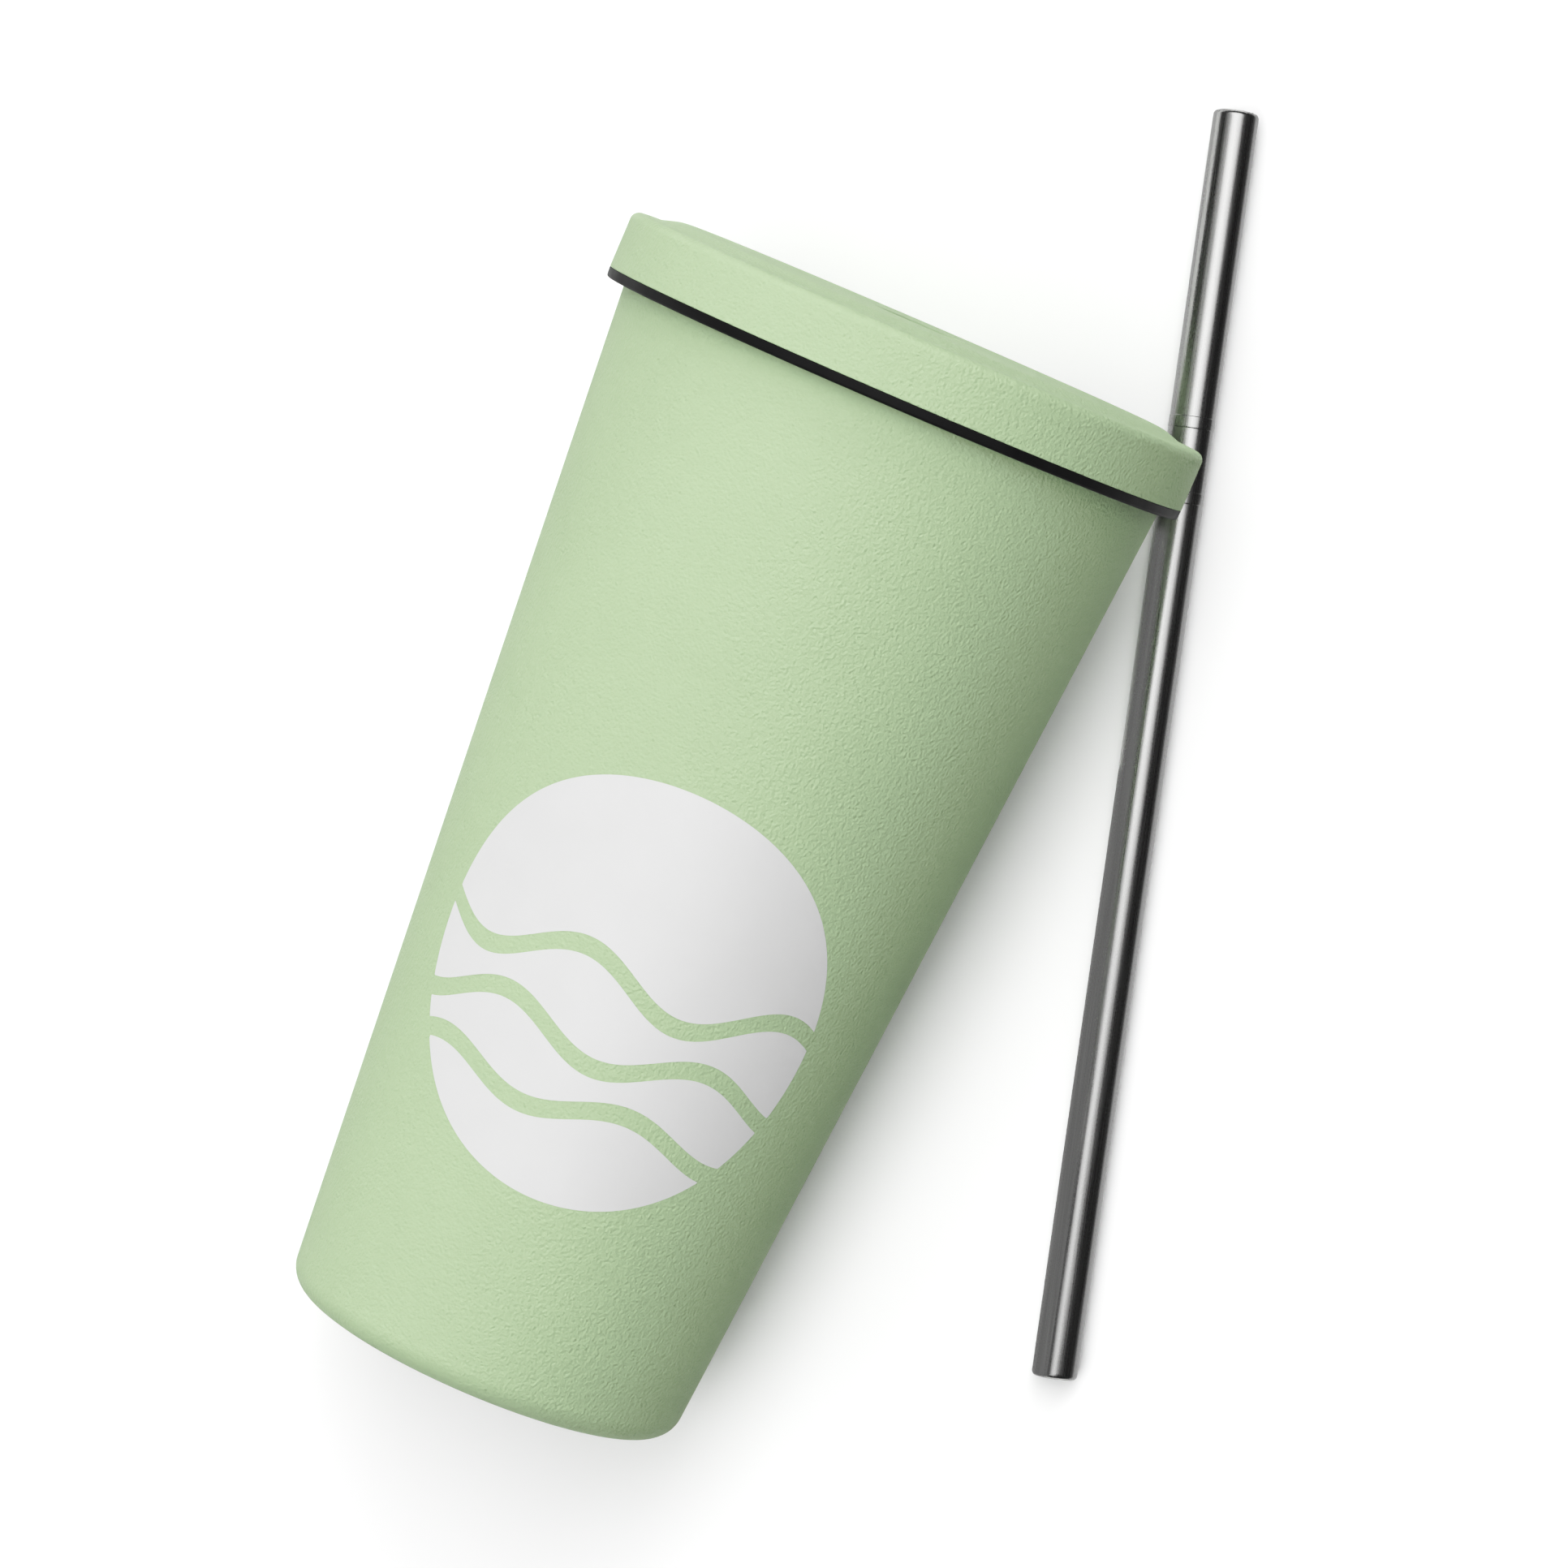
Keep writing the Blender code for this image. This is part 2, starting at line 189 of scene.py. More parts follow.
def turned(name, profile, place, body, stands_for, segments=FACETS_LARGE):
    """Turn a profile of (radius, height) points round Z into one closed smooth piece.

    A profile that starts on the axis is open there. Any other profile is closed into a ring.
    """
    shape = bmesh.new()
    rings = []
    for radius, height in profile:
        if radius < ON_AXIS:
            rings.append([shape.verts.new((0.0, 0.0, height))])
            continue
        ring = []
        for index in range(segments):
            angle = math.tau * index / segments
            ring.append(shape.verts.new((radius * math.cos(angle), radius * math.sin(angle), height)))
        rings.append(ring)
    pairs = list(zip(rings, rings[1:]))
    if profile[0][0] > ON_AXIS:
        pairs.append((rings[-1], rings[0]))
    for lower, upper in pairs:
        for index in range(segments):
            following = (index + 1) % segments
            corners = [lower[index % len(lower)], lower[following % len(lower)]]
            corners += [upper[following % len(upper)], upper[index % len(upper)]]
            shape.faces.new(list(dict.fromkeys(corners)))
    bmesh.ops.recalc_face_normals(shape, faces=shape.faces[:])
    return add_piece(name, shape, place, body, stands_for)


def add_piece(name, shape, place, body, stands_for=(), sharp_degrees=50):
    """Put a mesh in the scene, on its body. Edges sharper than the given angle stay sharp."""
    mesh = bpy.data.meshes.new(name)
    shape.transform(place)
    shape.to_mesh(mesh)
    shape.free()
    mesh.shade_smooth()
    mesh.set_sharp_from_angle(angle=math.radians(sharp_degrees))
    piece = bpy.data.objects.new(name, mesh)
    bpy.context.scene.collection.objects.link(piece)
    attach(piece, body)
    if stands_for:
        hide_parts(*stands_for)
    return piece


# ---------------------------------------------------------------- material tools
class Shader:
    """A material's node tree, with short calls for the nodes used here.

    Its coordinates run in the frame that the piece was turned in, so Z is along its axis.
    """

    def __init__(self, name, place=MUG):
        self.material = bpy.data.materials.new(name)
        self.material.use_nodes = True
        self.nodes = self.material.node_tree.nodes
        self.links = self.material.node_tree.links
        self.principled = self.nodes["Principled BSDF"]
        own_frame = self.nodes.new("ShaderNodeMapping")
        own_frame.vector_type = "TEXTURE"
        own_frame.inputs["Location"].default_value = place.translation
        own_frame.inputs["Rotation"].default_value = place.to_euler()
        self.links.new(self.nodes.new("ShaderNodeTexCoord").outputs["Object"], own_frame.inputs["Vector"])
        self.coordinates = own_frame.outputs["Vector"]

    def set(self, **values):
        """Set constants on the shader's own sockets, with _ for each space in a name."""
        for name, value in values.items():
            self.principled.inputs[name.replace("_", " ")].default_value = value

    def feed(self, socket, output):
        """Link a node's output to one of the shader's sockets."""
        self.links.new(output, self.principled.inputs[socket])

    def stretched(self, scale):
        """Coordinates scaled by a different factor along each axis."""
        mapping = self.nodes.new("ShaderNodeMapping")
        mapping.inputs["Scale"].default_value = scale
        self.links.new(self.coordinates, mapping.inputs["Vector"])
        return mapping.outputs["Vector"]

    def noise(self, scale, detail=2.0, roughness=0.5, vector=None):
        """Cloudy noise, on the piece's own coordinates unless others are given."""
        node = self.nodes.new("ShaderNodeTexNoise")
        node.inputs["Scale"].default_value = scale
        node.inputs["Detail"].default_value = detail
        node.inputs["Roughness"].default_value = roughness
        self.links.new(vector or self.coordinates, node.inputs["Vector"])
        return node.outputs["Fac"]

    def cells(self, scale):
        """Soft round cells, darkest in their middles."""
        node = self.nodes.new("ShaderNodeTexVoronoi")
        node.feature = "SMOOTH_F1"
        node.inputs["Scale"].default_value = scale
        node.inputs["Smoothness"].default_value = 1.0
        self.links.new(self.coordinates, node.inputs["Vector"])
        return node.outputs["Distance"]

    def math(self, operation, first, second):
        """One sum on two inputs, each a number or a node's output."""
        node = self.nodes.new("ShaderNodeMath")
        node.operation = operation
        for socket, value in zip(node.inputs, (first, second)):
            if isinstance(value, (int, float)):
                socket.default_value = value
            else:
                self.links.new(value, socket)
        return node.outputs["Value"]

    def blend(self, first, share, second, other_share):
        """Weighted sum of two outputs."""
        part = self.math("MULTIPLY", first, share)
        other_part = self.math("MULTIPLY", second, other_share)
        return self.math("ADD", part, other_part)

    def between(self, factor, low, high, start=0.0, end=1.0):
        """Map a factor from start...end to low...high."""
        node = self.nodes.new("ShaderNodeMapRange")
        node.inputs["From Min"].default_value = start
        node.inputs["From Max"].default_value = end
        node.inputs["To Min"].default_value = low
        node.inputs["To Max"].default_value = high
        self.links.new(factor, node.inputs["Value"])
        return node.outputs["Result"]

    def colours(self, factor, low, high, start=0.0, end=1.0):
        """Map a factor from start...end to a range of colours."""
        node = self.nodes.new("ShaderNodeValToRGB")
        node.color_ramp.elements[0].position = start
        node.color_ramp.elements[0].color = (*low, 1.0)
        node.color_ramp.elements[1].position = end
        node.color_ramp.elements[1].color = (*high, 1.0)
        self.links.new(factor, node.inputs["Fac"])
        return node.outputs["Color"]

    def bump(self, height, distance, strength, under=None):
        """Surface relief of a given depth in metres, on top of another relief if there is one."""
        node = self.nodes.new("ShaderNodeBump")
        node.inputs["Distance"].default_value = distance
        node.inputs["Strength"].default_value = strength
        self.links.new(height, node.inputs["Height"])
        if under is not None:
            self.links.new(under, node.inputs["Normal"])
        return node.outputs["Normal"]


def scaled(colour, factor):
    """The colour made darker or lighter."""
    return tuple(channel * factor for channel in colour)


def tint(shader, factor, colour, darkest, lightest, start=0.3, end=0.7):
    """Base colour that drifts between a darker and a lighter shade of one colour."""
    shades = shader.colours(factor, scaled(colour, darkest), scaled(colour, lightest), start, end)
    shader.feed("Base Color", shades)


def coated(name, colour):
    """Matte powder coat: an orange-peel surface with a little unevenness in tone and gloss."""
    shader = Shader(name)
    shader.set(Specular_IOR_Level=0.06)
    tint(shader, shader.noise(scale=45.0, detail=3.0), colour, 0.985, 1.015)
    shader.feed("Roughness", shader.between(shader.noise(scale=900.0), 0.55, 0.67))
    dimples = shader.math("MULTIPLY", shader.cells(scale=1600.0), 0.8)
    peel = shader.math("ADD", shader.noise(scale=2300.0, detail=1.0), dimples)
    swell = shader.bump(shader.noise(scale=260.0, detail=1.0), distance=0.00006, strength=0.35)
    shader.feed("Normal", shader.bump(peel, distance=0.00015, strength=1.0, under=swell))
    return shader.material


def printed(name, colour):
    """Screen-printed ink over the coat, a little smoother than the coat itself."""
    shader = Shader(name)
    shader.set(Specular_IOR_Level=0.4)
    tint(shader, shader.noise(scale=120.0, detail=3.0), colour, 0.985, 1.01)
    shader.feed("Roughness", shader.between(shader.noise(scale=700.0), 0.48, 0.6))
    grain = shader.noise(scale=1150.0, detail=1.0)
    shader.feed("Normal", shader.bump(grain, distance=0.00005, strength=0.35))
    return shader.material


def rubber(name, colour, roughness):
    """Moulded silicone with a faint bloom."""
    shader = Shader(name)
    shader.set(Specular_IOR_Level=0.15)
    bloom = shader.noise(scale=160.0, detail=5.0, roughness=0.6)
    tint(shader, bloom, colour, 0.8, 1.3, start=0.35)
    shader.feed("Roughness", shader.between(bloom, roughness - 0.06, roughness + 0.1, 0.3, 0.7))
    grain = shader.noise(scale=2600.0, detail=2.0)
    shader.feed("Normal", shader.bump(grain, distance=0.00002, strength=0.3))
    return shader.material


def moulded(name, colour):
    """Satin moulded plastic with a fine spark-eroded grain."""
    shader = Shader(name)
    tint(shader, shader.noise(scale=60.0, detail=2.0), colour, 0.95, 1.05)
    shader.feed("Roughness", shader.between(shader.noise(scale=500.0, detail=3.0), 0.37, 0.48))
    grain = shader.noise(scale=3000.0, detail=2.0)
    shader.feed("Normal", shader.bump(grain, distance=0.00002, strength=0.35))
    return shader.material


def brushed_along(name, colour):
    """Steel tube, drawn and brushed along its length, the local Z axis."""
    shader = Shader(name, STRAW)
    shader.set(Metallic=1.0)
    fine = shader.stretched((5200.0, 5200.0, 55.0))
    broad = shader.stretched((700.0, 700.0, 26.0))
    streaks = shader.noise(scale=1.0, detail=3.0, roughness=0.6, vector=fine)
    clouds = shader.noise(scale=1.0, detail=3.0, vector=broad)
    grain = shader.noise(scale=2600.0, detail=2.0, roughness=0.7)
    tint(shader, shader.blend(streaks, 0.6, clouds, 0.4), colour, 0.86, 1.1, 0.34, 0.66)
    rough = shader.blend(streaks, 0.8, grain, 0.2)
    shader.feed("Roughness", shader.between(rough, 0.23, 0.35, 0.32, 0.68))
    shader.feed("Normal", shader.bump(streaks, distance=0.000004, strength=0.2))
    return shader.material


def round_axis(shader, turn_scale=0.0006):
    """Coordinates of radius, angle and height, so that a noise runs round the local Z axis."""
    split = shader.nodes.new("ShaderNodeSeparateXYZ")
    shader.links.new(shader.coordinates, split.inputs["Vector"])
    x = split.outputs["X"]
    y = split.outputs["Y"]
    square = shader.math("ADD", shader.math("MULTIPLY", x, x), shader.math("MULTIPLY", y, y))
    turn = shader.math("MULTIPLY", shader.math("ARCTAN2", y, x), turn_scale)
    joined = shader.nodes.new("ShaderNodeCombineXYZ")
    shader.links.new(shader.math("SQRT", square, 0.0), joined.inputs["X"])
    shader.links.new(turn, joined.inputs["Y"])
    shader.links.new(split.outputs["Z"], joined.inputs["Z"])
    return joined.outputs["Vector"]


def brushed_round(name, colour, roughness):
    """Steel turned and brushed round the local Z axis."""
    shader = Shader(name)
    shader.set(Metallic=1.0)
    streaks = shader.noise(scale=4200.0, detail=3.0, roughness=0.65, vector=round_axis(shader))
    clouds = shader.noise(scale=90.0, detail=3.0)
    tint(shader, streaks, colour, 0.88, 1.08, 0.35, 0.65)
    rough = shader.blend(streaks, 0.6, clouds, 0.4)
    shader.feed("Roughness", shader.between(rough, roughness - 0.08, roughness + 0.1, 0.35, 0.65))
    shader.feed("Normal", shader.bump(streaks, distance=0.000015, strength=0.35))
    return shader.material


def plain(name, colour, roughness, metallic=1.0):
    """Pressed, fused or sintered inner pieces, with grain and a mottled tone."""
    shader = Shader(name)
    shader.set(Metallic=metallic)
    mottle = shader.noise(scale=220.0, detail=4.0, roughness=0.6)
    tint(shader, mottle, colour, 0.85, 1.1)
    shader.feed("Roughness", shader.between(mottle, roughness - 0.08, roughness + 0.1, 0.3, 0.7))
    grain = shader.noise(scale=1800.0, detail=3.0)
    shader.feed("Normal", shader.bump(grain, distance=0.00003, strength=0.4))
    return shader.material


GREEN = (0.320, 0.411, 0.262)
INK_WHITE = (0.51, 0.51, 0.51)
BAND_BLACK = (0.006, 0.006, 0.0062)
GROMMET_BLACK = (0.016, 0.016, 0.017)
PLUG_GREY = (0.075, 0.077, 0.078)
STRAW_STEEL = (0.40, 0.40, 0.396)
LINER_STEEL = (0.58, 0.575, 0.56)
BASE_STEEL = (0.55, 0.545, 0.535)
PLATE_STEEL = (0.50, 0.49, 0.47)
FOIL_SILVER = (0.80, 0.81, 0.83)
GLASS_BROWN = (0.05, 0.04, 0.03)
GETTER_GREY = (0.16, 0.16, 0.17)

coat = coated("powder_coat", GREEN)
lid_coat = coated("lid_paint", GREEN)
ink = printed("print_ink", INK_WHITE)
silicone = rubber("black_silicone", BAND_BLACK, roughness=0.55)
grommet_silicone = rubber("grommet_silicone", GROMMET_BLACK, roughness=0.5)
plug_plastic = moulded("plug_plastic", PLUG_GREY)
straw_steel = brushed_along("straw_steel", STRAW_STEEL)
liner_steel = brushed_round("liner_steel", LINER_STEEL, roughness=0.3)
base_steel = brushed_round("base_steel", BASE_STEEL, roughness=0.34)


# ---------------------------------------------------------------- the cup
def make_outer_shell():
    """Tapered outer wall, rounded base corner and standing ring."""
    top = LIP_LOW - GAP
    foot = FOOT_INNER_RADIUS + 0.0001
    corners = [
        (cup_radius(top, SHEET), top, 0.0001),
        (cup_radius(top), top, 0.00025),
        (cup_radius(0.0), 0.0, CUP_CORNER),
        (foot, 0.0, 0.0003),
        (foot, SHEET, 0.0001),
        (cup_radius(SHEET, SHEET), SHEET, CUP_CORNER - SHEET),
    ]
    shell = turned("outer_shell_coated", rounded(corners, steps=12), MUG, "cup", ["outer_shell"])
    shell.data.materials.append(coat)


def make_liner():
    """Rolled lip, inner wall, weld line and dished floor, in one thin skin."""
    back = DOUBLE_WALL - SHEET
    weld_depth = 0.00012
    weld_low = LINER_WELD - 0.0005
    weld_high = LINER_WELD + 0.0005
    bottom = LINER_FLOOR - SHEET
    corners = [
        (0.0, LINER_FLOOR, 0.0),
        (cup_radius(LINER_FLOOR, DOUBLE_WALL), LINER_FLOOR, LINER_CORNER),
        (cup_radius(weld_low, DOUBLE_WALL), weld_low, 0.0002),
        (cup_radius(LINER_WELD, DOUBLE_WALL + weld_depth), LINER_WELD, 0.0004),
        (cup_radius(weld_high, DOUBLE_WALL), weld_high, 0.0002),
        (cup_radius(LIP_TOP, DOUBLE_WALL), LIP_TOP, 0.0014),
        (cup_radius(LIP_TOP), LIP_TOP, 0.0010),
        (cup_radius(LIP_LOW), LIP_LOW, 0.00012),
        (cup_radius(LIP_LOW, back), LIP_LOW, 0.0003),
        (cup_radius(bottom, back), bottom, LINER_CORNER + SHEET),
        (0.0, bottom, 0.0),
    ]
    profile = rounded(corners, closed=False, steps=8)
    liner = turned("steel_liner", profile, MUG, "cup", ["liner_wall", "liner_bottom"])
    liner.data.materials.append(liner_steel)


def make_base_plate():
    """Pressed disc with a shallow step, seated in the standing ring."""
    rim = FOOT_INNER_RADIUS
    middle = 0.0015
    step = 0.0019
    inside = middle + SHEET
    rim_low = 0.00032
    rim_high = 0.0009
    corners = [
        (0.0, middle, 0.0),
        (rim - 0.0078, middle, 0.0006),
        (rim - 0.0084, step, 0.0006),
        (rim - 0.0030, step, 0.0006),
        (rim - 0.0014, rim_low, 0.0006),
        (rim, rim_low, 0.0003),
        (rim, rim_high, 0.0001),
        (rim - 0.0011, rim_high, 0.0005),
        (rim - 0.0026, inside, 0.0005),
        (0.0, inside, 0.0),
    ]
    plate = turned("base_plate_pressed", rounded(corners, closed=False), MUG, "cup", ["base_plate"])
    plate.data.materials.append(base_steel)


# ---------------------------------------------------------------- the lid
def make_lid_cap():
    """Cover with a low plateau, an eased slope down to a rounded rim, and a straight skirt."""
    seat = HOLE_RADIUS + 0.0020
    seat_floor = LID_TOP - 0.0012
    under = LID_TOP - 0.0024
    skirt = LID_RADIUS - LID_WALL
    skirt_low = BAND_TOP + GAP
    slope_steps = 24
    hole = [
        (HOLE_RADIUS, under, 0.0),
        (HOLE_RADIUS, seat_floor, 0.0002),
        (seat, seat_floor, 0.0001),
        (seat, LID_TOP, 0.00035),
        (PLATEAU_RADIUS - 0.006, LID_TOP, 0.0),
    ]
    profile = rounded(hole, closed=False)
    for step in range(slope_steps + 1):
        share = step / slope_steps
        radius = PLATEAU_RADIUS + (PLATEAU_FOOT_RADIUS - PLATEAU_RADIUS) * share
        profile.append((radius, LID_TOP - PLATEAU_HEIGHT * (1 - math.cos(math.pi * share)) / 2))
    rim = [
        (PLATEAU_FOOT_RADIUS, LID_TOP - PLATEAU_HEIGHT, 0.0),
        (LID_RADIUS, RIM_TOP, RIM_CORNER),
        (LID_RADIUS, skirt_low, 0.00015),
        (skirt, skirt_low, 0.0002),
        (skirt, RIM_TOP - 0.0020, 0.0009),
        (PLATEAU_RADIUS, under, 0.0008),
        (HOLE_RADIUS, under, 0.0),
    ]
    profile += rounded(rim, closed=False, steps=10)[1:-1]
    cap = turned("lid_cap_painted", profile, MUG, "lid", ["lid_cap"])
    cap.data.materials.append(lid_coat)


def make_lid_plug():
    """Inner moulding: disc, ring that goes down into the cup, and straw boss."""
    disc_low = 0.1687
    disc_top = disc_low + 0.0025
    inner = PLUG_RADIUS - 0.0016
    flange = LID_RADIUS - LID_WALL - 0.0002
    stop = PLUG_RADIUS + 0.0009
    boss = HOLE_RADIUS + 0.0017
    boss_low = 0.1659
    boss_top = LID_TOP - 0.0025
    corners = [
        (HOLE_RADIUS, boss_low, 0.0002),
        (boss, boss_low, 0.0004),
        (boss, disc_low, 0.0006),
        (inner, disc_low, 0.0010),
        (inner, PLUG_BOTTOM, 0.0004),
        (stop, PLUG_BOTTOM, 0.0005),
        (stop, PLUG_BOTTOM + 0.0008, 0.0002),
        (PLUG_RADIUS, PLUG_BOTTOM + 0.0012, 0.0002),
        (PLUG_RADIUS, disc_low, 0.0002),
        (flange, disc_low, 0.0002),
        (flange, disc_top, 0.0003),
        (boss, disc_top, 0.0004),
        (boss, boss_top, 0.0003),
        (HOLE_RADIUS, boss_top, 0.0001),
    ]
    plug = turned("lid_plug_moulded", rounded(corners), MUG, "lid", ["lid_plug"])
    plug.data.materials.append(plug_plastic)


def make_gasket():
    """Silicone ring: the band under the cap, the web over the lip and two wiping lips."""
    inner = PLUG_RADIUS + 0.0001
    outer = inner + 0.0007
    bottom = PLUG_BOTTOM + 0.0014
    band_inner = cup_radius(BAND_TOP) + 0.0004
    web_low = LIP_TOP + 0.0003
    web_top = web_low + 0.0016
    web = LID_RADIUS - LID_WALL - 0.0002
    corners = [
        (LID_RADIUS, BAND_TOP, 0.00012),
        (LID_RADIUS - 0.0001, BAND_BOTTOM, 0.00045),
        (band_inner, BAND_BOTTOM, 0.0002),
        (band_inner, web_low, 0.0004),
        (outer, web_low, 0.0003),
    ]
    for wiper in WIPER_HEIGHTS:
        reach = cup_radius(wiper, DOUBLE_WALL) - 0.00015
        corners += [
            (outer, wiper + 0.0010, 0.0004),
            (reach, wiper + 0.0001, 0.00015),
            (reach, wiper - 0.0003, 0.00015),
            (outer, wiper - 0.0008, 0.0004),
        ]
    corners += [
        (outer, bottom, 0.0002),
        (inner, bottom, 0.0001),
        (inner, web_top, 0.0001),
        (web, web_top, 0.0002),
        (web, BAND_TOP, 0.0001),
    ]
    gasket = turned("gasket_moulded", rounded(corners), MUG, "lid", ["lid_gasket"])
    gasket.data.materials.append(silicone)


def make_grommet():
    """Silicone sleeve in the straw hole, with soft rounded edges."""
    sleeve = HOLE_RADIUS - 0.0001
    flange = HOLE_RADIUS + 0.0018
    flange_low = LID_TOP - 0.0011
    top = LID_TOP - 0.00045
    lip = sleeve + 0.0013
    lip_top = 0.1658
    bottom = 0.1650
    corners = [
        (BORE_RADIUS, bottom, 0.0003),
        (lip, bottom, 0.0004),
        (lip, lip_top, 0.00025),
        (sleeve, lip_top, 0.0001),
        (sleeve, flange_low, 0.0001),
        (flange, flange_low, 0.0001),
        (flange, top, 0.0004),
        (BORE_RADIUS, top, 0.0005),
    ]
    profile = rounded(corners)
    grommet = turned("grommet_moulded", profile, MUG, "lid", ["straw_grommet"], segments=FACETS_GROMMET)
    grommet.data.materials.append(grommet_silicone)


# ---------------------------------------------------------------- the straw
def bead_profile(middle):
    """One low rolled bead: a flat top with a small step down on each side."""
    half = 0.0010
    step = 0.00012
    ease = 0.0001
    crest = STRAW_RADIUS + BEAD_HEIGHT
    corners = [
        (STRAW_RADIUS, middle - 2 * half, 0.0),
        (STRAW_RADIUS, middle - half, ease),
        (crest, middle - half + step, ease),
        (crest, middle + half - step, ease),
        (STRAW_RADIUS, middle + half, ease),
        (STRAW_RADIUS, middle + 2 * half, 0.0),
    ]
    return rounded(corners, closed=False)


def make_straw():
    """Drawn steel tube with rounded, turned-in ends and two rolled beads."""
    bore = STRAW_RADIUS - STRAW_WALL
    mouth = STRAW_RADIUS - 0.0010
    end_length = 0.004
    corners = [
        (bore, end_length, 0.0),
        (bore, STRAW_WALL, 0.0003),
        (mouth, STRAW_WALL, 0.0001),
        (mouth, 0.0, 0.0001),
        (STRAW_RADIUS, 0.0, 0.0008),
        (STRAW_RADIUS, end_length, 0.0),
    ]
    mirrored = [(radius, STRAW_LENGTH - height, rounding) for radius, height, rounding in reversed(corners)]
    profile = rounded(corners, closed=False)
    for from_top in STRAW_BEADS:
        profile += bead_profile(STRAW_LENGTH - from_top)
    profile += rounded(mirrored, closed=False)
    straw = turned("straw_tube", profile, STRAW, "straw", ["straw"], segments=FACETS_STRAW)
    straw.data.materials.append(straw_steel)


# ---------------------------------------------------------------- the printed mark
PRINT_CENTRE = 0.0665
PRINT_RADIUS = 0.0335
PRINT_TURN = math.radians(-4.0)
PRINT_LIFT = 0.00004
PRINT_COLUMNS = 160
PRINT_ROWS = 10
NARROWEST_INK = 0.00005
WAVE_LENGTH = 0.034
WAVE_SHIFT = 160.0
WAVE_GAP = 0.0030
WAVES = ((-0.0185, 0.0022), (-0.0085, 0.0028), (0.0025, 0.0032))  # level, swing


def on_cup(across, along, lift):
    """A point on the cup's upper side, from a distance round it and a distance along it."""
    height = PRINT_CENTRE + along
    radius = cup_radius(height) + lift
    angle = math.pi + PRINT_TURN - across / cup_radius(PRINT_CENTRE)
    return (radius * math.cos(angle), radius * math.sin(angle), height)


def wave_line(level, swing, across):
    """Distance along the cup of a wave's middle line, at a distance across the disc."""
    return level + swing * math.sin(math.tau * across / WAVE_LENGTH + level * WAVE_SHIFT)


def ink_spans(below, above):
    """Where one strip of ink lies: its distance across, and its ends along the cup, column by column."""
    spans = []
    for column in range(PRINT_COLUMNS + 1):
        across = -PRINT_RADIUS * math.cos(math.pi * column / PRINT_COLUMNS)
        half = math.sqrt(max(0.0, PRINT_RADIUS ** 2 - across ** 2))
        low = -half
        high = half
        if below is not None:
            low = max(low, wave_line(*below, across) + WAVE_GAP / 2)
        if above is not None:
            high = min(high, wave_line(*above, across) - WAVE_GAP / 2)
        if high - low > NARROWEST_INK:
            spans.append((across, low, high))
    return spans


def make_print():
    """Generic mark: a disc cut by three wave-shaped gaps, in white ink on the curved side."""
    shape = bmesh.new()
    for below, above in zip((None, *WAVES), (*WAVES, None)):
        sheets = []
        for lift in (PRINT_LIFT, -PRINT_LIFT):
            grid = []
            for across, low, high in ink_spans(below, above):
                line = []
                for row in range(PRINT_ROWS + 1):
                    along = low + (high - low) * row / PRINT_ROWS
                    line.append(shape.verts.new(on_cup(across, along, lift)))
                grid.append(line)
            sheets.append(grid)
        top, bottom = sheets
        last = len(top) - 1
        for column in range(last):
            after = column + 1
            for row in range(PRINT_ROWS):
                next_row = row + 1
                shape.faces.new((top[column][row], top[after][row],
                                 top[after][next_row], top[column][next_row]))
                shape.faces.new((bottom[column][row], bottom[column][next_row],
                                 bottom[after][next_row], bottom[after][row]))
            for row in (0, PRINT_ROWS):
                shape.faces.new((top[column][row], bottom[column][row], bottom[after][row], top[after][row]))
        for column in (0, last):
            for row in range(PRINT_ROWS):
                shape.faces.new((top[column][row], top[column][row + 1],
                                 bottom[column][row + 1], bottom[column][row]))
    bmesh.ops.recalc_face_normals(shape, faces=shape.faces[:])
    mark = add_piece("printed_mark", shape, MUG, "cup", sharp_degrees=60)
    mark.data.materials.append(ink)


# ---------------------------------------------------------------- inner pieces that keep their CAD shape
def finish_inner_pieces():
    """Give the CAD meshes of the hidden pieces their materials."""
    finishes = {
        "foil_wrap": plain("foil", FOIL_SILVER, roughness=0.25),
        "vacuum_end_plate": plain("end_plate_steel", PLATE_STEEL, roughness=0.38),
        "vacuum_seal_bead": plain("solder_glass", GLASS_BROWN, roughness=0.25, metallic=0.0),
        "getter_pill": plain("getter_alloy", GETTER_GREY, roughness=0.7),
        "getter_clip": plain("clip_steel", PLATE_STEEL, roughness=0.4),
    }
    for name, material in finishes.items():
        mesh = frame["nodes"][name].data
        mesh.materials.clear()
        mesh.materials.append(material)


# ---------------------------------------------------------------- studio
UP = Vector((0.0, 0.0, 1.0))

CAMERA_PLACE = Vector((-0.0128, 0.0128, 0.977))
CAMERA_ROLL = math.radians(23.26)
CAMERA_LENS = 137.0
CAMERA_SENSOR = 36.0
CAMERA_REACH = 50.0

FLOOR_RADIUS = 1.1
FLOOR_FACETS = 128
PAPER_LOW = (0.935, 0.935, 0.935)
PAPER_HIGH = (0.945, 0.945, 0.945)
WORLD_STRENGTH = 0.03

